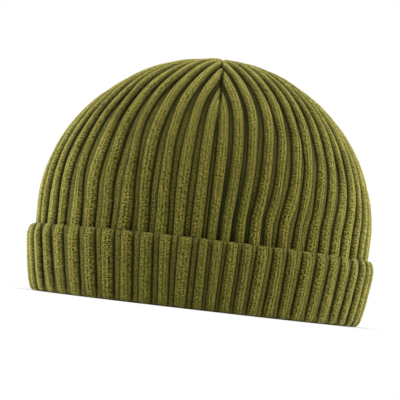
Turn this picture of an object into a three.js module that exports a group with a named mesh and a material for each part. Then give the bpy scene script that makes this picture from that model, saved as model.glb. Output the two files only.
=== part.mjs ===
// Watch cap: a ribbed knit crown closed by four darts, with one cuff turned up outside it.
// Millimetres, +Z up. The front dart faces -Y and the fold of the cuff stands on z = 0.
import * as THREE from 'three';

// Driving dimensions
const CAP_HEIGHT = 145;
const CROWN_RADIUS = 96.8;
const DEPTH_RATIO = 1.06;
const SHOULDER_HEIGHT = 52;
const DOME_POWER = 1.93;
const KNIT_THICKNESS = 4;
const RIB_RELIEF = 2.6;
const PIECE_GAP = 0.3;
const CROWN_HEM_HEIGHT = 5.1;
const CROWN_HEM_RADIUS = 92.3;
const CUFF_TOP_HEIGHT = 38;
const INNER_SEGMENTS = 60;

// Darts: round this dome angle the seams start to cut the ribs off in turn, more softly with more
// rounding. By the apex they would take DART_TAKE of them, but inside the gathering radius no rib
// gets any narrower and they take the rest.
const DART_ANGLE = 42;
const DART_ROUNDING = 0.2;
const DART_TAKE = 0.62;
const DART_EASE = 1.1;
const GATHERING_RADIUS = 42.6;
const DART_SHOULDER = 2;
const SEAM_SNAP = 0.3;

// A seam is a groove as deep as a valley. Over these dome angles it comes up to its top level.
const SEAM_RISE_START = 58;
const SEAM_RISE_END = 74;
const SEAM_TOP_LEVEL = 0.6;

// The knit is stretched unevenly. A gore runs from its seam's azimuth, in degrees from the front.
// Crowding above zero widens the ribs where the gore starts and narrows them where it ends, and it
// changes by the gain from the shoulder to the apex.
const GORES = [
  { name: 'front right', seam: 0.7, span: 95.3, ribs: 16, crowding: -0.3, gain: 0.86 },
  { name: 'back right', seam: 96, span: 84, ribs: 16, crowding: 0.2, gain: -0.5 },
  { name: 'back left', seam: 180, span: 96.2, ribs: 16, crowding: -0.2, gain: 0.5 },
  { name: 'front left', seam: 276.2, span: 84.5, ribs: 12, crowding: 0.2, gain: -0.39 },
];

// One rib: the distance from its middle, the most that this takes of the spacing of the ribs, and
// the level from valley to crest. So the ribs keep their width, and crowded valleys close up.
const RIB_SECTION = [
  { offset: -3.3, most: -0.46, level: 0 },
  { offset: -2, most: -0.32, level: 1 },
  { offset: 2, most: 0.32, level: 1 },
  { offset: 3.3, most: 0.46, level: 0 },
];

// Dome rows by angle, from the shoulder at 0 to the apex at 90.
const DOME_ROWS = [0, 13, 25, 35, DART_ANGLE, 48, 54, 60, 66, 72, 77, 82, 86];
const INNER_DOME_ROWS = [0, 13, 25, 35, 45, 55, 65, 74, 82];

// The cuff's outer face from the flat of the fold up to its top edge, and its widest radius.
const CUFF_TOP_RADIUS = 100.8;
const CUFF_FACE = [
  { height: 0, radius: 93.8, relief: 0.33 },
  { height: 1.3, radius: 95.4, relief: 0.6 },
  { height: 4.5, radius: 96.7, relief: 0.85 },
  { height: 12, radius: 98.4, relief: 1 },
  { height: 30, radius: CUFF_TOP_RADIUS, relief: 1 },
  { height: 35.5, radius: 100, relief: 0.9 },
  { height: CUFF_TOP_HEIGHT, radius: 98.2, relief: 0.4 },
];

// The cuff's inner face, from its top edge down to the ledge, and round the inside of the fold.
const CREASE_CLEARANCE = 0.6;
const CUFF_LINING_TOP = { height: 37.4, radius: 97.1 };
const FOLD_TOE = { height: 1.4, radius: 89 };
const FOLD_SOLE = { height: 0, radius: 91 };

// The plain ribbon loop that hangs from the inner wall.
const LABEL = {
  azimuth: -111,
  width: 22,
  top: 31,
  bottom: 6.5,
  thickness: 1.2,
  standoff: 0.6,
  lowerInset: 1.4,
};
const LABEL_COLUMNS = 4;
const LABEL_ROWS = [
  { fall: 0, inset: 0 },
  { fall: 0.5, inset: 0.5 },
  { fall: 0.95, inset: 1 },
  { fall: 1, inset: 1.15 },
];

const TURN = 360;

// A closed solid made of rings round the vertical axis. Each ring lists corners that know their azimuth.
class RingSolid {
  constructor() {
    this.positions = [];
    this.faces = [];
  }

  corner(azimuth, radius, height) {
    const angle = THREE.MathUtils.degToRad(azimuth);
    this.positions.push(radius * Math.sin(angle), -DEPTH_RATIO * radius * Math.cos(angle), height);
    return { id: this.positions.length / 3 - 1, azimuth };
  }

  face(a, b, c) {
    if (a.id !== b.id && b.id !== c.id && c.id !== a.id) {
      this.faces.push(a.id, b.id, c.id);
    }
  }

  // Joins two rings with the same columns, which may share corners where a dart closes them.
  strip(ring, next) {
    ring.forEach((corner, i) => {
      const j = (i + 1) % ring.length;
      this.face(corner, ring[j], next[j]);
      this.face(corner, next[j], next[i]);
    });
  }

  // Joins two rings with different columns, always stepping on to the nearer azimuth.
  bridge(ring, next) {
    const azimuthAfter = (list, i) => list[(i + 1) % list.length].azimuth + (i + 1 < list.length ? 0 : TURN);
    let i = 0;
    let j = 0;
    while (i < ring.length || j < next.length) {
      const here = ring[i % ring.length];
      const there = next[j % next.length];
      const stepRing = i < ring.length && azimuthAfter(ring, i) <= azimuthAfter(next, j);
      if (stepRing || j >= next.length) {
        this.face(here, ring[(i + 1) % ring.length], there);
        i += 1;
      } else {
        this.face(here, next[(j + 1) % next.length], there);
        j += 1;
      }
    }
  }

  // Closes a ring to one corner; the solid lies below an upper cap and above a lower one.
  cap(ring, tip, upper) {
    ring.forEach((corner, i) => {
      const beside = ring[(i + 1) % ring.length];
      if (upper) {
        this.face(corner, beside, tip);
      } else {
        this.face(beside, corner, tip);
      }
    });
  }

  geometry() {
    const geometry = new THREE.BufferGeometry();
    geometry.setAttribute('position', new THREE.Float32BufferAttribute(this.positions, 3));
    geometry.setIndex(this.faces);
    geometry.computeVertexNormals();
    return geometry;
  }
}

// The share of a gore's width where a rib coordinate lies, from 0 at its seam to 1 at the next.
function goreShare(gore, rib, angle) {
  const even = rib / gore.ribs;
  const crowding = gore.crowding + (gore.gain * angle) / 90;
  return even + crowding * even * (1 - even);
}

// A point of the crown's wall at a dome angle, at a depth under the rib crests.
function domePoint(angle, depth) {
  const turn = THREE.MathUtils.degToRad(angle);
  const power = 2 / DOME_POWER;
  return {
    radius: (CROWN_RADIUS - depth) * Math.cos(turn) ** power,
    height: SHOULDER_HEIGHT + (CAP_HEIGHT - SHOULDER_HEIGHT - depth) * Math.sin(turn) ** power,
  };
}

// How far the darts have come at a dome angle: 0 at the shoulder and close to 1 at the apex.
function dartClimb(angle) {
  const ramp = (place) => (place + Math.hypot(place, DART_ROUNDING)) / 2;
  const dartSpan = 90 - DART_ANGLE;
  return ramp((angle - DART_ANGLE) / dartSpan) - ramp(-DART_ANGLE / dartSpan);
}

// The share of each gore's ribs that the darts have left at a dome angle.
function keptShare(angle) {
  const room = domePoint(angle, 0).radius / GATHERING_RADIUS;
  return Math.min(1 - DART_TAKE * dartClimb(angle) ** DART_EASE, room);
}

// The coordinate of a section point of a gore's rib, at a radius and a dome angle.
function ribCoordinate(gore, rib, section, radius, angle) {
  const width = (goreShare(gore, rib + 1, angle) - goreShare(gore, rib, angle)) / keptShare(angle);
  const spacing = width * THREE.MathUtils.degToRad(gore.span) * radius;
  const share = Math.min(Math.abs(section.offset) / spacing, Math.abs(section.most));
  return rib + 0.5 + Math.sign(section.offset) * share;
}

// Each gore's first column is its seam, and the rest lie across its ribs.
function crownColumns() {
  return GORES.flatMap((gore, goreIndex) => {
    const columns = [{ gore, goreIndex }];
    for (let rib = 0; rib < gore.ribs; rib += 1) {
      RIB_SECTION.forEach((section) => columns.push({ gore, goreIndex, rib, section }));
    }
    return columns;
  });
}

// One ring of the ribbed crown. A column's spread is -1 at its gore's own seam and 1 at the next,
// and columns that the darts have cut off share their seam's corner.
function crownRing(solid, columns, pointAtDepth, angle) {
  const rise = THREE.MathUtils.inverseLerp(SEAM_RISE_START, SEAM_RISE_END, angle);
  const seamLevel = SEAM_TOP_LEVEL * THREE.MathUtils.clamp(rise, 0, 1);
  const seams = GORES.map(({ seam }) => {
    const { radius, height } = pointAtDepth(RIB_RELIEF * (1 - seamLevel));
    return solid.corner(seam, radius, height);
  });
  const crestRadius = pointAtDepth(0).radius;
  return columns.map(({ gore, goreIndex, rib, section }) => {
    if (!section) {
      return seams[goreIndex];
    }
    const coordinate = ribCoordinate(gore, rib, section, crestRadius, angle);
    const spread = (2 * goreShare(gore, coordinate, angle) - 1) / keptShare(angle);
    const reach = THREE.MathUtils.degToRad(gore.span / 2) * crestRadius;
    const seamDistance = (1 - Math.abs(spread)) * reach;
    if (seamDistance < SEAM_SNAP) {
      return seams[(goreIndex + (spread > 0 ? 1 : 0)) % GORES.length];
    }
    const shoulder = Math.min(1, seamDistance / DART_SHOULDER);
    const level = THREE.MathUtils.lerp(seamLevel, section.level, shoulder);
    const { radius, height } = pointAtDepth(RIB_RELIEF * (1 - level));
    return solid.corner(gore.seam + (gore.span * (spread + 1)) / 2, radius, height);
  });
}

function smoothRing(solid, { radius, height }) {
  const azimuths = Array.from({ length: INNER_SEGMENTS }, (_, i) => (TURN * i) / INNER_SEGMENTS);
  return azimuths.map((azimuth) => solid.corner(azimuth, radius, height));
}

function crownGeometry() {
  const solid = new RingSolid();
  const columns = crownColumns();
  const hem = { height: CROWN_HEM_HEIGHT, radius: CROWN_HEM_RADIUS };
  const crease = { height: CUFF_TOP_HEIGHT, radius: CUFF_LINING_TOP.radius - CREASE_CLEARANCE };
  const sideRings = [hem, crease].map((row) => crownRing(
    solid,
    columns,
    (depth) => ({ radius: row.radius - depth, height: row.height }),
    0,
  ));
  const domeRings = DOME_ROWS.map((angle) => crownRing(
    solid,
    columns,
    (depth) => domePoint(angle, depth),
    angle,
  ));
  const innerHem = smoothRing(solid, { ...hem, radius: hem.radius - KNIT_THICKNESS });
  const innerCrease = smoothRing(solid, { ...crease, radius: crease.radius - KNIT_THICKNESS });
  const innerDome = INNER_DOME_ROWS.map((angle) => smoothRing(solid, domePoint(angle, KNIT_THICKNESS)));

  const outerRings = [...sideRings, ...domeRings];
  const innerRings = [innerHem, innerCrease, ...innerDome];
  solid.bridge(innerHem, outerRings[0]);
  outerRings.slice(1).forEach((ring, i) => solid.strip(outerRings[i], ring));
  const apexDepth = RIB_RELIEF * (1 - SEAM_TOP_LEVEL);
  solid.cap(outerRings.at(-1), solid.corner(0, 0, CAP_HEIGHT - apexDepth), true);
  innerRings.slice(1).forEach((ring, i) => solid.strip(ring, innerRings[i]));
  solid.cap(innerRings.at(-1), solid.corner(0, 0, CAP_HEIGHT - KNIT_THICKNESS), false);
  return solid.geometry();
}

// The cuff shows the other side of the knit, so its crests stand half a rib beside the crown's.
function cuffColumns() {
  return GORES.flatMap((gore) => {
    const columns = [];
    for (let rib = 0; rib < gore.ribs; rib += 1) {
      RIB_SECTION.forEach((section) => {
        const across = ribCoordinate(gore, rib, section, CUFF_TOP_RADIUS, 0) - rib;
        const coordinate = rib + ((across + 0.5) % 1);
        const azimuth = gore.seam + gore.span * goreShare(gore, coordinate, 0);
        columns.push({ azimuth, level: section.level });
      });
    }
    return columns.sort((a, b) => a.azimuth - b.azimuth);
  });
}

function cuffGeometry() {
  const solid = new RingSolid();
  const columns = cuffColumns();
  const face = CUFF_FACE.map(({ height, radius, relief }) => columns.map(({ azimuth, level }) => {
    const valleyDepth = RIB_RELIEF * relief * (1 - level);
    return solid.corner(azimuth, radius - valleyDepth, height);
  }));
  const ledgeHeight = CROWN_HEM_HEIGHT - PIECE_GAP;
  const liningTop = smoothRing(solid, CUFF_LINING_TOP);
  const ledgeOuter = smoothRing(solid, { height: ledgeHeight, radius: CROWN_HEM_RADIUS + CREASE_CLEARANCE });
  const ledgeInner = smoothRing(solid, { height: ledgeHeight, radius: CROWN_HEM_RADIUS - KNIT_THICKNESS });
  const toe = smoothRing(solid, FOLD_TOE);
  const sole = smoothRing(solid, FOLD_SOLE);

  solid.bridge(sole, face[0]);
  face.slice(1).forEach((ring, i) => solid.strip(face[i], ring));
  solid.bridge(face.at(-1), liningTop);
  [ledgeOuter, ledgeInner, toe, sole].reduce((ring, next) => {
    solid.strip(ring, next);
    return next;
  }, liningTop);
  return solid.geometry();
}

// The radius of the crown's inner wall below the cuff's top edge.
function innerWallRadius(height) {
  const creaseRadius = CUFF_LINING_TOP.radius - CREASE_CLEARANCE;
  const share = (height - CROWN_HEM_HEIGHT) / (CUFF_TOP_HEIGHT - CROWN_HEM_HEIGHT);
  return THREE.MathUtils.lerp(CROWN_HEM_RADIUS, creaseRadius, share) - KNIT_THICKNESS;
}

// The ribbon is doubled at its lower edge and lies along the wall, a little further in below.
function labelGeometry() {
  const solid = new RingSolid();
  const halfAngle = THREE.MathUtils.radToDeg(LABEL.width / 2 / CROWN_HEM_RADIUS);
  const azimuths = Array.from({ length: LABEL_COLUMNS + 1 }, (_, i) => (
    LABEL.azimuth + halfAngle * ((2 * i) / LABEL_COLUMNS - 1)
  ));
  const leaf = (inward) => LABEL_ROWS.map(({ fall, inset }) => {
    const height = THREE.MathUtils.lerp(LABEL.top, LABEL.bottom, fall);
    const radius = innerWallRadius(height) - LABEL.standoff - LABEL.lowerInset * inset - inward;
    return azimuths.map((azimuth) => solid.corner(azimuth, radius, height));
  });
  const wallSide = leaf(0);
  const headSide = leaf(LABEL.thickness);
  const section = [...wallSide, ...headSide.reverse()];
  section.forEach((row, j) => {
    const next = section[(j + 1) % section.length];
    for (let i = 0; i < LABEL_COLUMNS; i += 1) {
      solid.face(row[i], next[i], next[i + 1]);
      solid.face(row[i], next[i + 1], row[i + 1]);
    }
  });
  for (let j = 0; j < LABEL_ROWS.length - 1; j += 1) {
    const facing = section.length - 1 - j;
    const last = LABEL_COLUMNS;
    solid.face(section[j][0], section[facing][0], section[facing - 1][0]);
    solid.face(section[j][0], section[facing - 1][0], section[j + 1][0]);
    solid.face(section[j][last], section[facing - 1][last], section[facing][last]);
    solid.face(section[j][last], section[j + 1][last], section[facing - 1][last]);
  }
  return solid.geometry();
}

function piece(name, geometry, color, roughness) {
  const mesh = new THREE.Mesh(geometry, new THREE.MeshStandardMaterial({ color, roughness, metalness: 0 }));
  mesh.name = name;
  return mesh;
}

const cap = new THREE.Group();
cap.name = 'watch_cap';
cap.add(piece('crown', crownGeometry(), 0x6f6b2c, 0.95));
cap.add(piece('turned_up_cuff', cuffGeometry(), 0x75712f, 0.95));
cap.add(piece('inner_label', labelGeometry(), 0xb9bcc0, 0.5));

export default cap;
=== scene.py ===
# Watch cap: camera, studio light, the ribbed knit at full detail and its materials.
import math

import bpy
import numpy as np
from mathutils import Matrix, Vector


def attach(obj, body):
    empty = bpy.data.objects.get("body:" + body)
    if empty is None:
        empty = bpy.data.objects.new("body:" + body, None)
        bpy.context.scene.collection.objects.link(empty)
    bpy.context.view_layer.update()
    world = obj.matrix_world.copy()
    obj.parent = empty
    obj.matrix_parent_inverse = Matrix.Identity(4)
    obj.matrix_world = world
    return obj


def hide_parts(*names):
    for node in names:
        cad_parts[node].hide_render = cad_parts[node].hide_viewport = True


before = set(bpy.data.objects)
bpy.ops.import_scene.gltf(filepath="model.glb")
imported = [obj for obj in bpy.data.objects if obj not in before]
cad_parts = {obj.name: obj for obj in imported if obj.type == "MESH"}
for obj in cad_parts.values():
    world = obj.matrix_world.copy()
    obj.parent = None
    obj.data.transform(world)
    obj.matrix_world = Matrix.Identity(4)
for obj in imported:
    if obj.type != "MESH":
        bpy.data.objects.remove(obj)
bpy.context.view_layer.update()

MM = 0.001

# The cap's sizes in millimetres. They are the part's own, but for the ribs' relief, and below
# the seams' numbers and a gore's ease, which a finer mesh can take closer to the knit.
CAP_HEIGHT = 145.0
CROWN_RADIUS = 96.8
DEPTH_RATIO = 1.06
SHOULDER_HEIGHT = 52.0
DOME_POWER = 1.93
KNIT_THICKNESS = 4.0
RIB_RELIEF = 2.9
HEM_HEIGHT = 5.1
HEM_RADIUS = 92.3
CREASE_RADIUS = 96.5
CUFF_TOP_HEIGHT = 38.0

# Darts: round this dome angle, in degrees, the seams start to cut the ribs off in turn, more
# softly with more rounding and more ease. By the apex they would take DART_TAKE of them, but
# inside the gathering radius no rib gets any narrower and they take the rest.
DART_ANGLE = 42.0
DART_ROUNDING = 0.2
DART_TAKE = 0.62
DART_EASE = 1.1
GATHERING_RADIUS = 42.6

# Seams: the dome angles between which they come up to the level of the ribs; how fast a dart
# opens as it takes ribs, and the depth of its crack below the valleys; the distance over which
# the knit rolls in to it; the distance at which a column is merged with it; and the depth of the
# dimple where they all meet
SEAM_RISE = (63.0, 71.0)
DART_OPENING = 15.0
SEAM_CRACK = 0.8
SEAM_SHOULDER = 2.2
SEAM_SNAP = 0.2
APEX_DEPTH = 0.6

# The gores from the front to the right: seam azimuth and span in degrees, ribs, crowding at the
# shoulder, its gain up to the apex, and how far it eases off there towards the gore's end
GORES = (
    dict(seam=0.7, span=95.3, ribs=16, crowding=-0.3, gain=0.86, ease=0.8),
    dict(seam=96.0, span=84.0, ribs=16, crowding=0.2, gain=-0.5, ease=0.0),
    dict(seam=180.0, span=96.2, ribs=16, crowding=-0.2, gain=0.5, ease=0.0),
    dict(seam=276.2, span=84.5, ribs=12, crowding=0.2, gain=-0.39, ease=0.0),
)
RIBS = sum(gore["ribs"] for gore in GORES)

# Stitches: a rib is two wales wide, and so is a valley, which closes up where the ribs crowd.
# WALE_EDGES are the wales' edges as shares of the ribs' spacing, before the crowding.
WALES = 4.0
WALE_EDGES = (0.0, 0.22, 0.5, 0.78, 1.0)
COURSE = 1.15

# Ribs keep a half width, up to a share of their spacing, and widen where it passes RIB_SPACING
RIB_HALF_WIDTH = 3.1
RIB_MOST = 0.38
RIB_SPACING = 9.5
RIB_STRETCH = 0.36

# Section of the knit: how square a rib is and where it ends; the ripple of the stitches' legs,
# and the groove between the wales of a rib with its width; the swell of a valley; and the
# relief and the roundness of the inside
RIB_SQUARENESS = 3.5
RIB_FOOT = 0.98
LEG_RIPPLE = 0.15
WALE_GROOVE = 0.25
GROOVE_WIDTH = 0.05
VALLEY_SWELL = 0.35
INNER_RELIEF = 1.7
INNER_ROUNDNESS = 1.4

# Columns of the mesh across a rib, from valley to valley, and its rows. The cuff hides the first
# stretch of the crown, where a few rows are enough.
COLUMNS = (0.0, 0.1, 0.185, 0.215, 0.245, 0.29, 0.36, 0.395, 0.43, 0.47,
           0.5, 0.53, 0.57, 0.605, 0.64, 0.71, 0.755, 0.785, 0.815, 0.9)
INNER_COLUMNS = (0, 2, 5, 10, 15, 18)
ROW_STEP = 2.2
INNER_ROW_STEP = 4.4
HIDDEN_LENGTH = 26.0
HIDDEN_ROWS = 4

# The knit's unevenness is a sum of waves. Each kind has its strength, its seed, the most waves
# in a turn of the cap, and the most radians that one gains in WAVE_LENGTH along the knit. The
# crown's drifts are in ribs, the cuff's in degrees, the crests in millimetres, and the reliefs
# are shares.
WAVE_COUNT = 5
WAVE_LENGTH = 40.0
LEAST_CLIMB = 0.5
UNEVENNESS = dict(
    drift=dict(strength=0.07, seed=11, most_around=40, most_climb=3.0),
    fine_drift=dict(strength=0.04, seed=21, most_around=60, most_climb=9.0),
    relief=dict(strength=0.1, seed=31, most_around=30, most_climb=3.0),
    crest=dict(strength=0.3, seed=41, most_around=36, most_climb=3.0),
    cuff_drift=dict(strength=0.25, seed=51, most_around=30, most_climb=3.0),
    cuff_relief=dict(strength=0.1, seed=52, most_around=40, most_climb=3.0),
)


def uneven(kind, around, along, gore=0):
    """Smooth noise, periodic in a turn of azimuth in degrees, with its own seed for each gore."""
    settings = UNEVENNESS[kind]
    random = np.random.RandomState(settings["seed"] + gore)
    total = np.zeros(np.broadcast(around, along).shape)
    for _ in range(WAVE_COUNT):
        turns = random.randint(1, settings["most_around"] + 1)
        climb = random.uniform(LEAST_CLIMB, settings["most_climb"])
        phase = random.uniform(0.0, 2.0 * math.pi)
        total = total + np.sin(np.radians(around) * turns + along * climb / WAVE_LENGTH + phase)
    return settings["strength"] * (total / math.sqrt(WAVE_COUNT))


# Camera: the photo's view of the rim's middle, kept just above the floor
PHOTO_SIZE = 400
RIM_MIDDLE_PX = (194.0, 308.0)
MM_PER_PX = 0.58
CAMERA_ROLL = math.radians(6.6)
CAMERA_DISTANCE = 1200.0
CAMERA_HEIGHT = 9.0
SENSOR = 36.0


def make_camera():
    across = PHOTO_SIZE / 2 - RIM_MIDDLE_PX[0]
    up = RIM_MIDDLE_PX[1] - PHOTO_SIZE / 2
    aim_x = (across * math.cos(CAMERA_ROLL) - up * math.sin(CAMERA_ROLL)) * MM_PER_PX
    aim_z = (across * math.sin(CAMERA_ROLL) + up * math.cos(CAMERA_ROLL)) * MM_PER_PX
    data = bpy.data.cameras.new("photo_camera")
    data.sensor_width = SENSOR
    data.lens = SENSOR * CAMERA_DISTANCE / (PHOTO_SIZE * MM_PER_PX)
    data.clip_start = 0.01
    data.clip_end = 50.0
    camera = bpy.data.objects.new("photo_camera", data)
    bpy.context.scene.collection.objects.link(camera)
    place = Vector((aim_x, -CAMERA_DISTANCE, CAMERA_HEIGHT)) * MM
    view = Vector((aim_x, 0.0, aim_z)) * MM - place
    level = view.to_track_quat("-Z", "Y").to_matrix().to_4x4()
    camera.matrix_world = Matrix.Translation(place) @ level @ Matrix.Rotation(CAMERA_ROLL, 4, "Z")
    bpy.context.scene.camera = camera


make_camera()


# Studio: white to the camera, a pale floor that fades into it, and soft boxes round the cap.
# The floor's sizes and the distances between which it fades are in metres.
AMBIENT = 0.19
FLOOR_GREY = 0.85
FLOOR_HALF = 6.0
FLOOR_DROP = 0.0002
FADE_FROM = 0.095
FADE_TO = 0.112

# Soft boxes: azimuth from the camera's side (right is positive) and elevation in degrees,
# distance and size in metres, and power in watts
SOFT_BOXES = (
    dict(name="left_box", azimuth=-80.0, elevation=22.0, distance=1.1, size=(0.5, 0.9), power=9.5),
    dict(name="right_box", azimuth=70.0, elevation=22.0, distance=1.1, size=(0.5, 0.9), power=10.5),
    dict(name="left_rim", azimuth=-120.0, elevation=25.0, distance=1.1, size=(0.6, 0.9), power=7.0),
    dict(name="right_rim", azimuth=120.0, elevation=25.0, distance=1.1, size=(0.6, 0.9), power=4.5),
    dict(name="front_box", azimuth=0.0, elevation=30.0, distance=1.3, size=(0.9, 0.5), power=0.8),
    dict(name="top_box", azimuth=0.0, elevation=78.0, distance=1.1, size=(0.9, 0.7), power=3.5),
)
BOX_AIM = (0.0, 0.0, 0.07)


class Nodes:
    """Short names for the nodes of one material."""

    def __init__(self, name):
        self.material = bpy.data.materials.new(name)
        self.material.use_nodes = True
        self.tree = self.material.node_tree
        self.shader = self.tree.nodes["Principled BSDF"]

    def new(self, kind, **settings):
        node = self.tree.nodes.new(kind)
        for key, value in settings.items():
            setattr(node, key, value)
        return node

    def feed(self, socket, value):
        """Sets a socket to a number or a colour, or links it to another node."""
        if isinstance(value, tuple):
            socket.default_value = (*value, 1.0)
        elif isinstance(value, (int, float)):
            socket.default_value = value
        else:
            self.tree.links.new(value, socket)

    def shade(self, **values):
        """Feeds the shader's own sockets, named with underscores for spaces."""
        for name, value in values.items():
            self.feed(self.shader.inputs[name.replace("_", " ")], value)

    def uv(self, name):
        split = self.new("ShaderNodeSeparateXYZ")
        self.feed(split.inputs[0], self.new("ShaderNodeUVMap", uv_map=name).outputs[0])
        return split.outputs[0], split.outputs[1]

    def math(self, operation, *values):
        node = self.new("ShaderNodeMath", operation=operation)
        for socket, value in zip(node.inputs, values):
            self.feed(socket, value)
        return node.outputs[0]

    def multiply_add(self, value, factor, addend):
        return self.math("MULTIPLY_ADD", value, factor, addend)

    def hump(self, value):
        """1 in the middle of each whole step of the value, 0 where steps meet."""
        across = self.math("SUBTRACT", self.math("MULTIPLY", self.math("FRACT", value), 2.0), 1.0)
        return self.math("SUBTRACT", 1.0, self.math("MULTIPLY", across, across))

    def blend(self, factor, a, b):
        node = self.new("ShaderNodeMix", data_type="FLOAT")
        for socket, value in zip(node.inputs[:1] + node.inputs[2:4], (factor, a, b)):
            self.feed(socket, value)
        return node.outputs[0]

    def smooth_step(self, value, start, end):
        node = self.new("ShaderNodeMapRange", interpolation_type="SMOOTHSTEP")
        node.inputs["From Min"].default_value = start
        node.inputs["From Max"].default_value = end
        self.feed(node.inputs["Value"], value)
        return node.outputs[0]

    def combine(self, x, y):
        node = self.new("ShaderNodeCombineXYZ")
        self.feed(node.inputs[0], x)
        self.feed(node.inputs[1], y)
        return node.outputs[0]

    def noise(self, place, scale, detail, roughness):
        node = self.new("ShaderNodeTexNoise")
        node.inputs["Scale"].default_value = scale
        node.inputs["Detail"].default_value = detail
        node.inputs["Roughness"].default_value = roughness
        self.feed(node.inputs["Vector"], place)
        return node.outputs["Fac"]

    def own_tone(self, column, row):
        """A random tone for each whole column and row."""
        node = self.new("ShaderNodeTexWhiteNoise", noise_dimensions="2D")
        self.feed(node.inputs["Vector"], self.combine(column, row))
        return node.outputs["Value"]

    def mix_colour(self, factor, a, b, blend_type="MIX"):
        node = self.new("ShaderNodeMix", data_type="RGBA", blend_type=blend_type)
        for socket, value in zip((node.inputs[0], node.inputs[6], node.inputs[7]), (factor, a, b)):
            self.feed(socket, value)
        return node.outputs[2]

    def multiply_colour(self, a, b):
        return self.mix_colour(1.0, a, b, "MULTIPLY")

    def ramp(self, value, stops):
        node = self.new("ShaderNodeValToRGB")
        elements = node.color_ramp.elements
        while len(elements) < len(stops):
            elements.new(0.5)
        for element, (position, colour) in zip(elements, stops):
            element.position = position
            element.color = (*colour, 1.0)
        self.feed(node.inputs[0], value)
        return node.outputs[0]

    def bump(self, height, distance):
        node = self.new("ShaderNodeBump")
        node.inputs["Distance"].default_value = distance
        self.feed(node.inputs["Height"], height)
        self.shade(Normal=node.outputs[0])


def camera_ray(tree):
    return tree.nodes.new("ShaderNodeLightPath").outputs["Is Camera Ray"]


def make_world():
    world = bpy.data.worlds.new("studio")
    bpy.context.scene.world = world
    world.use_nodes = True
    tree = world.node_tree
    lighting = tree.nodes["Background"]
    lighting.inputs["Color"].default_value = (1.0, 1.0, 1.0, 1.0)
    lighting.inputs["Strength"].default_value = AMBIENT
    shown = tree.nodes.new("ShaderNodeBackground")
    shown.inputs["Color"].default_value = (1.0, 1.0, 1.0, 1.0)
    mix = tree.nodes.new("ShaderNodeMixShader")
    tree.links.new(camera_ray(tree), mix.inputs[0])
    tree.links.new(lighting.outputs[0], mix.inputs[1])
    tree.links.new(shown.outputs[0], mix.inputs[2])
    tree.links.new(mix.outputs[0], tree.nodes["World Output"].inputs["Surface"])
    settings = bpy.context.scene.view_settings
    settings.view_transform = "Standard"
    settings.look = "None"


def floor_material():
    """Pale grey near the cap. Further off the camera sees plain white."""
    nodes = Nodes("pale_floor")
    nodes.shade(Base_Color=(FLOOR_GREY, FLOOR_GREY, FLOOR_GREY), Roughness=0.9, Specular_IOR_Level=0.1)
    distance = nodes.new("ShaderNodeVectorMath", operation="LENGTH")
    nodes.feed(distance.inputs[0], nodes.new("ShaderNodeNewGeometry").outputs["Position"])
    fade = nodes.new("ShaderNodeMapRange")
    fade.inputs["From Min"].default_value = FADE_FROM
    fade.inputs["From Max"].default_value = FADE_TO
    nodes.feed(fade.inputs["Value"], distance.outputs["Value"])
    mix = nodes.new("ShaderNodeMixShader")
    nodes.feed(mix.inputs[0], nodes.math("MULTIPLY", fade.outputs[0], camera_ray(nodes.tree)))
    nodes.feed(mix.inputs[1], nodes.shader.outputs[0])
    nodes.feed(mix.inputs[2], nodes.new("ShaderNodeEmission").outputs[0])
    nodes.feed(nodes.tree.nodes["Material Output"].inputs["Surface"], mix.outputs[0])
    return nodes.material


def make_floor():
    mesh = bpy.data.meshes.new("floor")
    signs = ((-1, -1), (1, -1), (1, 1), (-1, 1))
    corners = [(x * FLOOR_HALF, y * FLOOR_HALF, -FLOOR_DROP) for x, y in signs]
    mesh.from_pydata(corners, [], [(0, 1, 2, 3)])
    mesh.materials.append(floor_material())
    floor = bpy.data.objects.new("floor", mesh)
    bpy.context.scene.collection.objects.link(floor)


def make_soft_box(name, azimuth, elevation, distance, size, power):
    data = bpy.data.lights.new(name, "AREA")
    data.shape = "RECTANGLE"
    data.size, data.size_y = size
    data.energy = power
    level = distance * math.cos(math.radians(elevation))
    place = Vector((
        level * math.sin(math.radians(azimuth)),
        -level * math.cos(math.radians(azimuth)),
        distance * math.sin(math.radians(elevation)),
    )) + Vector(BOX_AIM)
    light = bpy.data.objects.new(name, data)
    light.location = place
    light.rotation_euler = (Vector(BOX_AIM) - place).to_track_quat("-Z", "Y").to_euler()
    bpy.context.scene.collection.objects.link(light)


make_world()
make_floor()
for box in SOFT_BOXES:
    make_soft_box(**box)


# Knit surface: the section across a rib, given as shares of the ribs' spacing
def wale_coordinate(across):
    return np.interp(across, WALE_EDGES, range(len(WALE_EDGES)))


def rib_depth(across):
    """Depth under the rib's crest in millimetres for the outside of the knit."""
    half_valley = WALE_EDGES[1]
    share = np.clip((across - half_valley) / (1.0 - 2.0 * half_valley), 0.0, 1.0)
    side = np.abs(2.0 * share - 1.0)
    body = RIB_RELIEF * side ** RIB_SQUARENESS
    wale = (across - half_valley) / (WALE_EDGES[2] - half_valley)
    grooves = 0.5 + 0.5 * np.cos(4.0 * math.pi * wale)
    middle = np.exp(-((across - 0.5) / GROOVE_WIDTH) ** 2)
    ripple = LEG_RIPPLE * grooves + (WALE_GROOVE - LEG_RIPPLE) * middle
    to_base = np.clip(np.minimum(across, 1.0 - across) / half_valley, 0.0, 1.0)
    valley = RIB_RELIEF - VALLEY_SWELL * (1.0 - to_base ** 2)
    return np.where(side < RIB_FOOT, body + ripple * (1.0 - side ** RIB_SQUARENESS), valley)


def inner_depth(across):
    """Depth of the inside of the knit: its own ribs stand where the outside has its valleys."""
    side = np.clip(np.abs(2.0 * across - 1.0), 0.0, 1.0)
    return KNIT_THICKNESS - INNER_RELIEF * (0.5 + 0.5 * np.cos(math.pi * side ** INNER_ROUNDNESS))


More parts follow.
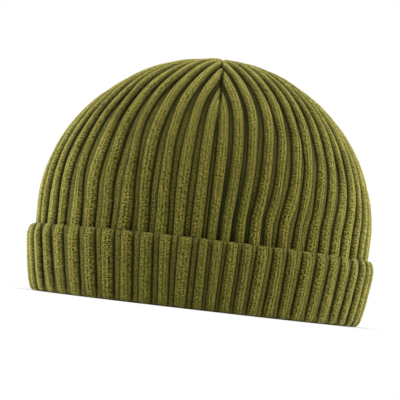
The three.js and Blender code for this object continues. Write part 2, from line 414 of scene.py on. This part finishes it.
def gore_share(gore, rib, angle):
    """Share of a gore's width where a rib coordinate lies at a dome angle."""
    even = rib / gore["ribs"]
    crowding = gore["crowding"] + gore["gain"] * angle / 90.0
    eased = 1.0 - gore["ease"] * angle / 90.0 * even ** 2
    return even + crowding * eased * even * (1.0 - even)


def crowded(gore, rib, across, radius, angle, kept):
    """Where a place across a rib comes to lie, as ribs keep their width, and the valley's width."""
    width = (gore_share(gore, rib + 1.0, angle) - gore_share(gore, rib, angle)) / kept
    spacing = width * math.radians(gore["span"]) * radius
    stretched = RIB_HALF_WIDTH + RIB_STRETCH * np.maximum(spacing - RIB_SPACING, 0.0)
    half = np.minimum(stretched / spacing, RIB_MOST)
    nominal = WALE_EDGES[2] - WALE_EDGES[1]
    offset = across - 0.5
    on_rib = np.clip(offset, -nominal, nominal)
    place = 0.5 + on_rib * half / nominal + (offset - on_rib) * (0.5 - half) / (0.5 - nominal)
    return place, (1.0 - 2.0 * half) * spacing


def azimuth_of(ribs_round, shift, radius):
    """Azimuth below the shoulder of places counted in ribs from the front seam, at a shift."""
    azimuth = np.zeros_like(ribs_round)
    first = 0
    for index, gore in enumerate(GORES):
        inside = (ribs_round >= first) & (ribs_round < first + gore["ribs"])
        rib = np.floor(ribs_round - first)
        coordinate = rib + crowded(gore, rib, ribs_round - first - rib, radius, 0.0, 1.0)[0] + shift
        following = GORES[(index + 1) % len(GORES)]
        here = gore["span"] * gore_share(gore, coordinate, 0.0)
        past_end = following["span"] * gore_share(following, coordinate - gore["ribs"], 0.0)
        turned = np.where(coordinate >= gore["ribs"], gore["span"] + past_end, here)
        azimuth = np.where(inside, gore["seam"] + turned, azimuth)
        first += gore["ribs"]
    return azimuth


# Crown: its section from the hem up to the apex, with stations behind the cuff, up the side
# above it, and over the dome to the angle where the rows end
HEM_STATIONS = 20
SIDE_STATIONS = 8
DOME_STATIONS = 160
LAST_ANGLE = 89.0


def dome_point(angle, depth):
    power = 2.0 / DOME_POWER
    radius = (CROWN_RADIUS - depth) * max(0.0, math.cos(math.radians(angle))) ** power
    rise = (CAP_HEIGHT - SHOULDER_HEIGHT - depth) * math.sin(math.radians(angle)) ** power
    return radius, SHOULDER_HEIGHT + rise


def dart_climb(angle):
    """How far the darts have come at a dome angle, starting softly round the dart angle."""
    ramp = [(place + math.hypot(place, DART_ROUNDING)) / 2.0
            for place in ((a - DART_ANGLE) / (90.0 - DART_ANGLE) for a in (angle, 0.0))]
    return ramp[0] - ramp[1]


def kept_share(angle):
    """Share of each gore's ribs that the darts have left at a dome angle."""
    room = dome_point(angle, 0.0)[0] / GATHERING_RADIUS
    return min(1.0 - DART_TAKE * dart_climb(angle) ** DART_EASE, room)


def straight_stations(start, end, count):
    """Stations up a straight stretch, which runs from one radius and height to another."""
    stations = []
    for share in np.linspace(0.0, 1.0, count, endpoint=False):
        radius, height = (a + share * (b - a) for a, b in zip(start, end))
        stations.append((radius, height, radius - KNIT_THICKNESS, height, 1.0, 0.0))
    return stations


def crown_stations():
    """Dense stations up the crown, and the length climbed to each.

    A station has the radius and height of the crests and of the inside, the share of the ribs
    that is kept, and the dome angle.
    """
    crease = (CREASE_RADIUS, CUFF_TOP_HEIGHT)
    stations = straight_stations((HEM_RADIUS, HEM_HEIGHT), crease, HEM_STATIONS)
    stations += straight_stations(crease, (CROWN_RADIUS, SHOULDER_HEIGHT), SIDE_STATIONS)
    for angle in np.linspace(0.0, LAST_ANGLE, DOME_STATIONS):
        crest, inside = dome_point(angle, 0.0), dome_point(angle, KNIT_THICKNESS)
        stations.append((*crest, *inside, kept_share(angle), angle))
    table = np.array(stations)
    steps = np.hypot(np.diff(table[:, 0]), np.diff(table[:, 1]))
    return table, np.concatenate([[0.0], np.cumsum(steps)])


class CrownRows:
    """The crown's section at the rows of a mesh, given by their length up from the hem."""

    def __init__(self, distances):
        table, climbed = crown_stations()
        self.distances = distances
        self.every = np.arange(len(distances))
        columns = [np.interp(distances, climbed, column) for column in table.T]
        self.radius, self.height, self.inner_radius, self.inner_height, self.kept, self.angle = columns

        # Up to the seams' rise a dart is a crack; above it the ribs of two gores meet in chevrons
        self.rise = np.clip((self.angle - SEAM_RISE[0]) / (SEAM_RISE[1] - SEAM_RISE[0]), 0.0, 1.0)
        self.opened = np.clip((1.0 - self.kept) * DART_OPENING, 0.0, 1.0) * (1.0 - self.rise)

    def place(self, azimuth, depth, row):
        part = depth / KNIT_THICKNESS
        radius = self.radius[row] + (self.inner_radius[row] - self.radius[row]) * part
        height = self.height[row] + (self.inner_height[row] - self.height[row]) * part
        return azimuth, radius, height


# How each corner lies, in millimetres: its distance from an open dart, kept up to a limit, and
# the width of the valley beside its rib
FAR_FROM_DART = 5.0
OPEN_VALLEY = 4.0
OPEN_LIE = (FAR_FROM_DART, OPEN_VALLEY)

# The wale and course of every corner round the apex
APEX_STITCH = (0.5, 0.5)


class KnitMesh:
    """Collects vertices in millimetres and faces with a wale and course coordinate per corner."""

    def __init__(self):
        self.points = []
        self.count = 0
        self.faces = []
        self.uvs = []
        self.lies = []

    def add(self, azimuth, radius, height):
        angle = np.radians(azimuth)
        block = np.stack(np.broadcast_arrays(
            radius * np.sin(angle), -DEPTH_RATIO * radius * np.cos(angle), height), axis=-1)
        ids = self.count + np.arange(block.size // 3).reshape(block.shape[:-1])
        self.points.append(block.reshape(-1, 3))
        self.count += ids.size
        return ids

    def polygon(self, corners, uvs, lies=None):
        self.faces.append([int(corner) for corner in corners])
        self.uvs.extend(uvs)
        self.lies.extend(lies or [OPEN_LIE] * len(corners))

    def grid(self, ids, wale, course, flip=False, lie=None):
        """Faces between rows of corner ids, dropping what a dart has closed."""
        rows, columns = ids.shape
        for r in range(rows - 1):
            for c in range(columns - 1):
                corners = ((r, c), (r, c + 1), (r + 1, c + 1), (r + 1, c))
                if flip:
                    corners = corners[::-1]
                face, uv, lies = [], [], []
                for corner in corners:
                    if ids[corner] not in face:
                        face.append(ids[corner])
                        uv.append((wale[corner], course[corner]))
                        lies.append(OPEN_LIE if lie is None else lie[corner])
                if len(face) > 2:
                    self.polygon(face, uv, lies)

    def build(self, name):
        points = np.concatenate(self.points) * MM
        mesh = bpy.data.meshes.new(name)
        mesh.from_pydata(points.tolist(), [], self.faces)
        for layer_name, values in (("stitches", self.uvs), ("lie", self.lies)):
            layer = mesh.uv_layers.new(name=layer_name)
            layer.data.foreach_set("uv", np.array(values, dtype=np.float32).ravel())
        mesh.shade_smooth()
        piece = bpy.data.objects.new(name, mesh)
        bpy.context.scene.collection.objects.link(piece)
        return piece


class GoreLayout:
    """Where the columns of a gore lie in each row of the crown, before the darts cut them off."""

    def __init__(self, index, rows, inner):
        self.index = index
        self.gore = GORES[index]
        shares = [COLUMNS[i] for i in INNER_COLUMNS] if inner else COLUMNS
        ribs = self.gore["ribs"]

        # Each column's coordinate, counted in ribs, and its share across its rib
        repeated = np.tile(shares, ribs)
        self.coordinate = np.append(np.repeat(np.arange(ribs), len(shares)) + repeated, ribs)
        self.share = np.append(repeated, 1.0)
        rib = np.minimum(np.floor(self.coordinate), ribs - 1.0)[None, :]
        angle, kept = rows.angle[:, None], rows.kept[:, None]
        across, self.valley = crowded(
            self.gore, rib, self.coordinate - rib, rows.radius[:, None], angle, kept)

        # Place in the gore, from -1 at its own seam to 1 at the next, and the coordinates there
        # of the ribs that the darts cut last
        self.base = 2.0 * gore_share(self.gore, rib + across, angle) - 1.0
        self.ends = np.array([np.interp((-left, left), row, self.coordinate)
                              for left, row in zip(rows.kept, self.base)])

    def uneven(self, kind, rows):
        return uneven(kind, self.coordinate * 360.0 / RIBS, rows.distances[:, None], self.index)

    def spread(self, rows):
        """Place between the seams once the darts have cut the ribs off and the ribs wander."""
        drift = self.uneven("drift", rows) + self.uneven("fine_drift", rows)
        drift = drift * (1.0 - self.base ** 2)
        return (self.base + drift * 2.0 / self.gore["ribs"]) / rows.kept[:, None]

    def depth(self, rows, inner):
        """Depth of the knit under the crests, before the seams pull it in."""
        if inner:
            return np.broadcast_to(inner_depth(self.share), self.base.shape)
        depth = rib_depth(self.share) * (1.0 + self.uneven("relief", rows))
        crest = 1.0 - np.clip(depth / RIB_RELIEF, 0.0, 1.0)
        return depth + crest * self.uneven("crest", rows)

    def wale(self, row):
        ribs = np.clip(self.coordinate, *self.ends[row])
        return WALES * np.floor(ribs) + wale_coordinate(ribs - np.floor(ribs))


def seam_depths(layouts, rows, inner):
    """Depth, in each row, of the seam that each gore starts with."""
    if inner:
        return [np.full(rows.kept.shape, KNIT_THICKNESS) for _ in layouts]
    crack = RIB_RELIEF + SEAM_CRACK * rows.opened
    depths = []
    for index, layout in enumerate(layouts):
        meeting = (layouts[index - 1].ends[:, 1], layout.ends[:, 0])
        chevron = sum(rib_depth(end - np.floor(end)) for end in meeting) / 2.0
        depths.append(crack + (chevron - crack) * rows.rise)
    return depths


def crown_face(knit, distances, inner):
    """One side of the crown: a grid for each gore, whose end columns are the seams they share.

    Returns, for each gore, the corner ids of its first and last row and the first row's wales.
    """
    rows = CrownRows(distances)
    layouts = [GoreLayout(index, rows, inner) for index in range(len(GORES))]
    depths = seam_depths(layouts, rows, inner)
    seams = [knit.add(*rows.place(gore["seam"], depth, rows.every))
             for gore, depth in zip(GORES, depths)]
    rims = []
    for index, (gore, layout) in enumerate(zip(GORES, layouts)):
        following = (index + 1) % len(GORES)
        own_side = layout.base < 0.0
        spread = layout.spread(rows)
        reach = math.radians(gore["span"] / 2.0) * rows.radius[:, None]
        to_seam = (1.0 - np.abs(spread)) * reach
        shoulder = np.clip(to_seam / SEAM_SHOULDER, 0.0, 1.0)
        shoulder = np.sqrt(shoulder * (2.0 - shoulder))
        seam_depth = np.where(own_side, depths[index][:, None], depths[following][:, None])
        depth = seam_depth + (layout.depth(rows, inner) - seam_depth) * shoulder
        azimuth = gore["seam"] + gore["span"] * (spread + 1.0) / 2.0

        ids = np.zeros(spread.shape, dtype=int)
        for r in rows.every:
            between = to_seam[r] >= SEAM_SNAP
            between[0] = between[-1] = False
            ids[r, between] = knit.add(*rows.place(azimuth[r, between], depth[r, between], r))
            ids[r, own_side[r] & ~between] = seams[index][r]
            ids[r, ~own_side[r] & ~between] = seams[following][r]

        # The inside's ribs are the outside's valleys
        wale = np.array([layout.wale(r) for r in rows.every]) + (WALES / 2.0 if inner else 0.0)
        course = np.repeat(distances[:, None] / COURSE, wale.shape[1], axis=1)
        from_dart = np.clip(to_seam, 0.0, FAR_FROM_DART)
        from_dart = FAR_FROM_DART + (from_dart - FAR_FROM_DART) * rows.opened[:, None]
        lie = np.stack([from_dart, layout.valley], axis=-1)
        knit.grid(ids, wale, course, flip=inner, lie=lie)
        rims.append((ids[0], ids[-1], wale[0]))
    return rims


def close_top(knit, rims, height, flip):
    apex = int(knit.add(0.0, 0.0, height).ravel()[0])
    for _, top, _ in rims:
        for a, b in zip(top[:-1], top[1:]):
            if a != b:
                face = [a, b, apex]
                knit.polygon(face[::-1] if flip else face, [APEX_STITCH] * 3)


def close_hem(knit, outer_rims, inner_rims):
    for (outer, _, wale), (inner, _, _) in zip(outer_rims, inner_rims):
        ribs = range(len(outer) // len(COLUMNS))
        places = [rib * len(COLUMNS) + i for rib in ribs for i in INNER_COLUMNS]
        places.append(len(outer) - 1)
        for i in range(len(places) - 1):
            run = outer[places[i]:places[i + 1] + 1]
            face = [inner[i], inner[i + 1], *run[::-1]]
            knit.polygon(face, [(wale[places[i]], 0.0)] * len(face))


def make_crown():
    knit = KnitMesh()
    _, climbed = crown_stations()
    hidden = np.linspace(0.0, HIDDEN_LENGTH, HIDDEN_ROWS, endpoint=False)
    shown = np.arange(HIDDEN_LENGTH, climbed[-1], ROW_STEP)
    inside = np.arange(0.0, climbed[-1], INNER_ROW_STEP)
    outer = crown_face(knit, np.concatenate([hidden, shown, climbed[-1:]]), inner=False)
    inner = crown_face(knit, np.concatenate([inside, climbed[-1:]]), inner=True)
    close_top(knit, outer, CAP_HEIGHT - APEX_DEPTH, flip=False)
    close_top(knit, inner, CAP_HEIGHT - KNIT_THICKNESS, flip=True)
    close_hem(knit, outer, inner)
    return knit.build("crown_knit")


# The cuff's section, once round: radius, height, the share of the ribs' relief there, and the
# number of steps to the next point. Where the relief is 0, the section goes on straight.
CUFF_SECTION = (
    (91.0, 0.0, 0.1, 2), (93.8, 0.0, 0.15, 2), (95.5, 1.3, 0.5, 3), (96.8, 4.5, 0.9, 5),
    (98.4, 12.0, 1.0, 6), (99.7, 21.0, 1.0, 6), (100.8, 30.0, 1.0, 3), (100.6, 33.5, 0.85, 3),
    (99.7, 36.4, 0.5, 2), (98.3, 37.9, 0.2, 1), (97.3, 37.8, 0.1, 1), (96.9, 36.6, 0.0, 2),
    (92.9, 4.9, 0.0, 1), (88.3, 4.9, 0.77, 3), (88.7, 1.8, 0.6, 3),
)
CUFF_RADIUS = 100.8

# The cuff's ribs stand half a rib aside from the crown's. On the left they lean outwards, by up
# to this many degrees either way of upright.
CUFF_SHIFT = 0.5
CUFF_LEAN = 1.5


def smooth_point(p0, p1, p2, p3, t):
    """Point of a Catmull-Rom curve between p1 and p2."""
    return 0.5 * (2.0 * p1 + (p2 - p0) * t + (2.0 * p0 - 5.0 * p1 + 4.0 * p2 - p3) * t ** 2
                  + (3.0 * p1 - p0 - 3.0 * p2 + p3) * t ** 3)


def smooth_section():
    """The cuff's section as a closed smooth curve, with more points where it shows."""
    points = np.array(CUFF_SECTION)[:, :3]
    curve = []
    for i, (_, _, relief, steps) in enumerate(CUFF_SECTION):
        p0, p1, p2, p3 = (points[(i + k) % len(points)] for k in (-1, 0, 1, 2))
        for t in np.arange(steps) / steps:
            curve.append(smooth_point(p0, p1, p2, p3, t) if relief else p1 + (p2 - p1) * t)
    return np.array(curve)


def make_cuff():
    knit = KnitMesh()
    curve = smooth_section()
    section = curve[:, :2]
    ahead = np.roll(section, -1, axis=0) - np.roll(section, 1, axis=0)
    outward = np.stack([ahead[:, 1], -ahead[:, 0]], axis=1)
    outward /= np.linalg.norm(outward, axis=1)[:, None]
    lengths = np.concatenate([[0.0], np.cumsum(np.hypot(*np.diff(section, axis=0).T))])[:, None]

    ribs = np.repeat(np.arange(RIBS), len(COLUMNS)) + np.tile(COLUMNS, RIBS)
    share = np.tile(COLUMNS, RIBS)
    azimuth = azimuth_of(ribs, CUFF_SHIFT, CUFF_RADIUS)[None, :]
    relief = curve[:, 2:] * (1.0 + uneven("cuff_relief", azimuth, lengths))
    depth = rib_depth(share)[None, :] * relief
    radius = curve[:, :1] - outward[:, :1] * depth
    height = np.maximum(curve[:, 1:2] - outward[:, 1:] * depth, 0.0)
    above_middle = 2.0 * curve[:, 1:2] / CUFF_TOP_HEIGHT - 1.0
    lean = CUFF_LEAN * np.minimum(np.sin(np.radians(azimuth)), 0.0) * above_middle
    ids = knit.add(azimuth + uneven("cuff_drift", azimuth, lengths) + lean, radius, height)
    wale = WALES * ribs.astype(int) + wale_coordinate(share)

    # The first row and the first column come again as the last
    ids = np.pad(ids, ((0, 1), (0, 1)), mode="wrap")
    wale = np.append(wale, wale[0] + WALES * RIBS)
    course = np.append(lengths / COURSE, lengths[-1] / COURSE + 1.0)
    knit.grid(ids, np.tile(wale, (len(ids), 1)), np.tile(course[:, None], (1, len(wale))))
    return knit.build("cuff_knit")


# The ribbon label on the inner wall: its azimuth in degrees and its sizes in millimetres. It is
# doubled, and the pinch is how close its leaves come at the top, where they are sewn on.
LABEL = dict(azimuth=-111.0, width=22.0, top=31.0, bottom=6.5, thickness=1.2, standoff=0.6, inset=1.4)
RIBBON = 0.4
LABEL_PINCH = 0.3
LABEL_ROWS = 15
LABEL_TURN_ROWS = 5
LABEL_COLUMNS = 13


def label_path():
    """Middle of the ribbon, down one leaf, round the fold and up the other: radius and height."""
    half = (LABEL["thickness"] - RIBBON) / 2.0
    drop = np.linspace(0.0, 1.0, LABEL_ROWS)
    turn = np.linspace(0.0, math.pi, LABEL_TURN_ROWS + 2)[1:-1]
    straight = LABEL["top"] - (LABEL["top"] - LABEL["bottom"] - half - RIBBON / 2.0) * drop
    gap = half * (LABEL_PINCH + (1.0 - LABEL_PINCH) * drop)
    offset = np.concatenate([gap, half * np.cos(turn), -gap[::-1]])
    height = np.concatenate([straight, straight[-1] - half * np.sin(turn), straight[::-1]])
    hung = (LABEL["top"] - height) / (LABEL["top"] - LABEL["bottom"])
    climbed = (height - HEM_HEIGHT) / (CUFF_TOP_HEIGHT - HEM_HEIGHT)
    wall = HEM_RADIUS + (CREASE_RADIUS - HEM_RADIUS) * climbed - KNIT_THICKNESS
    middle = wall - LABEL["standoff"] - LABEL["thickness"] / 2.0 - LABEL["inset"] * hung
    return np.stack([middle + offset, height], axis=1)


def make_label():
    knit = KnitMesh()
    path = label_path()
    along = np.gradient(path, axis=0)
    normal = np.stack([-along[:, 1], along[:, 0]], axis=1) / np.hypot(*along.T)[:, None]
    section = np.concatenate([path + normal * RIBBON / 2.0, (path - normal * RIBBON / 2.0)[::-1]])
    half_angle = math.degrees(LABEL["width"] / 2.0 / HEM_RADIUS)
    azimuth = LABEL["azimuth"] + np.linspace(-half_angle, half_angle, LABEL_COLUMNS)
    ids = knit.add(azimuth[None, :], section[:, :1], section[:, 1:])
    ids = np.pad(ids, ((0, 1), (0, 0)), mode="wrap")
    lengths = np.concatenate([[0.0], np.cumsum(np.hypot(*np.diff(path, axis=0).T))])
    around = np.concatenate([lengths, lengths[::-1], lengths[:1]])
    across = np.linspace(0.0, LABEL["width"], LABEL_COLUMNS)
    knit.grid(ids, *np.meshgrid(across, around), flip=True)

    # The ribbon's two edges
    last = len(section) - 1
    for i in range(len(path) - 1):
        for column, step in ((0, -1), (-1, 1)):
            face = [ids[j, column] for j in (i, i + 1, last - i - 1, last - i)][::step]
            knit.polygon(face, [(0.0, lengths[i])] * 4)
    return knit.build("ribbon_label")


crown = make_crown()
cuff = make_cuff()
label = make_label()


# Knit material. Stitches: how far each wale is shifted along, in courses; how steeply the legs
# of a knit stitch and the humps of a purl stitch slant; their level at the sides and the ends,
# where their middle is 1; the level in the groove between a rib's wales, and its reach; and the
# strands of yarn across a wale, with their turns in a course.
WALE_SHIFT = 0.37
KNIT_SLANT = -2.0
PURL_SLANT = 0.5
KNIT_SIDE = 0.55
KNIT_END = 0.2
PURL_SIDE = 0.5
GROOVE_LEVEL = 0.8
GROOVE_REACH = 0.1
STRANDS = 3.7
STRAND_TURNS = 1.8

# Noises over the stitches
FIBRE = dict(scale=2.5, detail=3.0, roughness=0.6)
SPECKS = dict(scale=1.7, detail=1.0, roughness=0.5)
MOTTLE = dict(scale=0.12, detail=2.0, roughness=0.5)

# Distances from the middle of a rib, at 0, to the middle of the valley, at 1: how far the specks
# push a rib's edge in and out, where the purl stitches start, where a valley's middle shows its
# painted shade, and the sides of the ribs that get painted shade near the outline
RAGGED = 0.2
RAGGED_SHIFT = -0.13
PURL_START = (0.39, 0.47)
VALLEY_FLOOR = (0.5, 0.8)
FLANK = (0.12, 0.36)

# What each thing adds to the tone of the yarn, and the contrast and the shift of the purl's tone
TONE_SHIFT = -0.36
# The stitches' height adds painted shade to the tone, dark in their gaps and light on their tops
PAINTED_HEIGHT_SHADE = 0.85
FIBRE_TONE = 0.5
SPECK_TONE = 0.25
STRAND_TONE = 0.75
PURL_CONTRAST = 1.4
PURL_TONE_SHIFT = -0.22

# Linear colours of the yarn, between the stitches, on them and on their tops, at their tones,
# where the dark between and the light on top are partly painted shade, and of its hairs; then
# colour factors of painted shade across a rib, in a valley and by an open dart, and of the yarn's
# own slow changes
WHITE = (1.0, 1.0, 1.0)
YARN = (
    (0.12, (0.012, 0.011, 0.003)),
    (0.5, (0.143, 0.131, 0.019)),
    (0.95, (0.375, 0.342, 0.06)),
)
FELT = (0.17, 0.156, 0.028)
RIB_SHADE = ((0.16, WHITE), (0.37, (0.78, 0.78, 0.8)), (0.45, (0.21, 0.22, 0.26)))
VALLEY_MIDDLE = (1.05, 1.06, 1.1)
NARROW_VALLEY_SHADE = (0.18, 0.19, 0.22)
DART_SHADE = ((0.06, (0.2, 0.2, 0.22)), (0.32, WHITE))
MOTTLE_TINT = ((0.3, (0.88, 0.88, 0.9)), (0.7, (1.12, 1.12, 1.08)))

# Outward direction of the cap as a whole, as a linear function of the place in metres
OUTWARD_SCALE = (1.0, 0.89, 1.0)
OUTWARD_SHIFT = (0.0, 0.0, -0.045)

# Where the cap turns away from the view, on a scale from 0 to 1: the range in which the valleys
# go into hiding and how much of them is left, the width in millimetres at which they open, the
# ribs' painted shade seen straight on, and the range in which their sides get painted shade and
# how dark
HIDING = (0.12, 0.5)
HIDING_LEFT = 0.55
VALLEY_OPENS = (1.6, 3.8)
AHEAD_SHADE = 0.88
OUTLINE = (0.4, 0.72)
FLANK_SHADE = 0.42

# Hairs and painted sheen: how suddenly they show as the cap turns away, their share in the
# valleys, how much the hairs cover the stitches, and how much the painted sheen brightens the yarn
HAIRS_AND_SHEEN_POWER = 2.0
PURL_HAIRS_AND_SHEEN = 0.2
HAIR_COVER = 0.4
PAINTED_SHEEN_GAIN = (2.7, 2.7, 4.1)

# Bump: the height of the stitches in metres, and of the fibres as a share of it
STITCH_BUMP = 0.0007
FIBRE_BUMP = 0.35


class KnitPattern:
    """The stitches' pattern: their height, the noises, and where on the knit a place is."""

    def __init__(self, nodes):
        wale, course = nodes.uv("stitches")
        middle = nodes.math("SUBTRACT", nodes.math("FRACT", nodes.math("DIVIDE", wale, WALES)), 0.5)
        from_rib = nodes.math("MULTIPLY", nodes.math("ABSOLUTE", middle), 2.0)
        legs = nodes.math("MULTIPLY", wale, 2.0)
        course = nodes.multiply_add(nodes.math("FLOOR", wale), WALE_SHIFT, course)
        spot = nodes.combine(legs, course)

        # Knit stitches: stacked V shapes, whose legs lean away from the middle of the wale
        side = nodes.math("ABSOLUTE", nodes.math("SUBTRACT", nodes.math("FRACT", wale), 0.5))
        across = nodes.hump(legs)
        slanted = nodes.multiply_add(side, KNIT_SLANT, course)
        plain = nodes.math("MULTIPLY", nodes.blend(across, KNIT_SIDE, 1.0),
                           nodes.blend(nodes.hump(slanted), KNIT_END, 1.0))
        groove = nodes.blend(nodes.smooth_step(from_rib, 0.0, GROOVE_REACH), GROOVE_LEVEL, 1.0)
        plain = nodes.math("MULTIPLY", plain, groove)

        # Purl stitches: short humps that stand half a course apart from one column to the next
        bricks = nodes.math("ADD", nodes.multiply_add(nodes.math("FLOOR", legs), 0.5, course),
                            nodes.math("MULTIPLY", side, PURL_SLANT))
        reverse = nodes.math("MULTIPLY", nodes.hump(bricks), nodes.blend(across, PURL_SIDE, 1.0))

        # The yarn has fibres, specks and slow changes, and the edge of a rib runs in and out
        self.fibre = nodes.noise(spot, **FIBRE)
        self.specks = nodes.noise(spot, **SPECKS)
        self.mottle = nodes.noise(spot, **MOTTLE)
        self.ragged = nodes.multiply_add(
            self.specks, RAGGED, nodes.math("ADD", from_rib, RAGGED_SHIFT))
        self.purl = nodes.smooth_step(self.ragged, *PURL_START)
        self.height = nodes.blend(self.purl, plain, reverse)
        self.strand = nodes.math("FLOOR", nodes.math("MULTIPLY", wale, STRANDS))
        turns = nodes.math("MULTIPLY", nodes.blend(self.purl, slanted, bricks), STRAND_TURNS)
        self.turn = nodes.math("FLOOR", turns)

    def tone(self, nodes):
        """Tone of the yarn, with painted shade from the stitches' height. Each strand has its own,
        apart from its neighbours'.
        """
        own = nodes.own_tone(self.strand, self.turn)
        beside = nodes.own_tone(nodes.math("ADD", self.strand, 1.0), self.turn)
        above = nodes.own_tone(self.strand, nodes.math("ADD", self.turn, 1.0))
        apart = nodes.multiply_add(nodes.math("ADD", beside, above), -0.5, own)
        tone = nodes.multiply_add(self.fibre, FIBRE_TONE, TONE_SHIFT)
        # Painted shade from the stitches' height
        tone = nodes.multiply_add(self.height, PAINTED_HEIGHT_SHADE, tone)
        tone = nodes.multiply_add(self.specks, SPECK_TONE, tone)
        tone = nodes.multiply_add(apart, STRAND_TONE, tone)
        return nodes.blend(self.purl, tone, nodes.multiply_add(tone, PURL_CONTRAST, PURL_TONE_SHIFT))


def turned_away(nodes):
    """0 where the whole cap faces the view, up to 1 at its outline."""
    outward = nodes.new("ShaderNodeVectorMath", operation="MULTIPLY_ADD")
    nodes.feed(outward.inputs[0], nodes.new("ShaderNodeNewGeometry").outputs["Position"])
    outward.inputs[1].default_value = OUTWARD_SCALE
    outward.inputs[2].default_value = OUTWARD_SHIFT
    direction = nodes.new("ShaderNodeVectorMath", operation="NORMALIZE")
    nodes.feed(direction.inputs[0], outward.outputs[0])
    aslant = nodes.new("ShaderNodeLayerWeight")
    nodes.feed(aslant.inputs["Normal"], direction.outputs[0])
    return aslant.outputs["Facing"]


def knit_material():
    nodes = Nodes("moss_green_rib_knit")
    pattern = KnitPattern(nodes)
    from_dart, valley = nodes.uv("lie")
    facing = turned_away(nodes)
    hiding = nodes.smooth_step(facing, *HIDING)
    # The hairs' cover and the painted sheen grow towards the outline
    hairs_and_sheen = nodes.math("MULTIPLY", nodes.math("POWER", facing, HAIRS_AND_SHEEN_POWER),
                       nodes.blend(pattern.purl, 1.0, PURL_HAIRS_AND_SHEEN))
    yarn = nodes.mix_colour(
        nodes.math("MULTIPLY", hairs_and_sheen, HAIR_COVER), nodes.ramp(pattern.tone(nodes), YARN), FELT)

    # Painted shade down a rib's sides and into the valleys: a valley's middle is painted dark where it
    # is narrow or the ribs hide it, and shows lighter where it is wide
    shown = nodes.math("MULTIPLY", nodes.smooth_step(valley, *VALLEY_OPENS),
                       nodes.blend(hiding, 1.0, HIDING_LEFT))
    middle = nodes.mix_colour(shown, NARROW_VALLEY_SHADE, VALLEY_MIDDLE)
    shade = nodes.ramp(pattern.ragged, RIB_SHADE)
    shade = nodes.mix_colour(nodes.smooth_step(pattern.ragged, *VALLEY_FLOOR), shade, middle)
    yarn = nodes.multiply_colour(yarn, shade)

    # Painted shade: seen straight on, the ribs are painted a little darker. Near the outline they hide
    # the valleys, and painted shade comes up their sides instead.
    ahead = nodes.blend(pattern.purl, nodes.blend(hiding, AHEAD_SHADE, 1.0), 1.0)
    yarn = nodes.multiply_colour(yarn, ahead)
    flank_shade = nodes.math("MULTIPLY", nodes.smooth_step(pattern.ragged, *FLANK),
                       nodes.smooth_step(facing, *OUTLINE))
    yarn = nodes.multiply_colour(yarn, nodes.blend(flank_shade, 1.0, FLANK_SHADE))

    # Painted shade in the crack of an open dart
    near_dart = nodes.math("DIVIDE", from_dart, FAR_FROM_DART)
    yarn = nodes.multiply_colour(yarn, nodes.ramp(near_dart, DART_SHADE))
    yarn = nodes.multiply_colour(yarn, nodes.ramp(pattern.mottle, MOTTLE_TINT))
    # Painted sheen: the yarn is painted brighter towards the outline
    yarn = nodes.multiply_colour(yarn, nodes.mix_colour(hairs_and_sheen, WHITE, PAINTED_SHEEN_GAIN))
    nodes.bump(nodes.multiply_add(pattern.fibre, FIBRE_BUMP, pattern.height), STITCH_BUMP)
    nodes.shade(Base_Color=yarn, Roughness=0.95, Specular_IOR_Level=0.05,
                Sheen_Weight=0.25, Sheen_Roughness=0.35, Sheen_Tint=(0.9, 0.85, 0.3))
    return nodes.material


# Ribbon material: a fine weave of two pale greys, and its bump's height in metres
RIBBON_GREYS = ((0.0, (0.42, 0.44, 0.48)), (1.0, (0.58, 0.6, 0.63)))
RIBBON_BUMP = 0.0001


def ribbon_material():
    nodes = Nodes("pale_grey_satin_ribbon")
    weave = nodes.new("ShaderNodeTexWave", wave_type="BANDS", bands_direction="X")
    weave.inputs["Scale"].default_value = 0.9
    weave.inputs["Distortion"].default_value = 0.6
    weave.inputs["Detail"].default_value = 2.0
    nodes.feed(weave.inputs["Vector"], nodes.new("ShaderNodeUVMap", uv_map="stitches").outputs[0])
    nodes.bump(weave.outputs["Fac"], RIBBON_BUMP)
    nodes.shade(Base_Color=nodes.ramp(weave.outputs["Fac"], RIBBON_GREYS), Roughness=0.4,
                Sheen_Weight=0.2)
    return nodes.material


knit_look = knit_material()
ribbon_look = ribbon_material()
for piece, node, slot, look in (
    (crown, "crown", "rib_knit", knit_look),
    (cuff, "turned_up_cuff", "rib_knit", knit_look),
    (label, "inner_label", "label_ribbon", ribbon_look),
):
    piece.data.materials.append(look)
    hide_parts(node)
    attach(piece, "root")
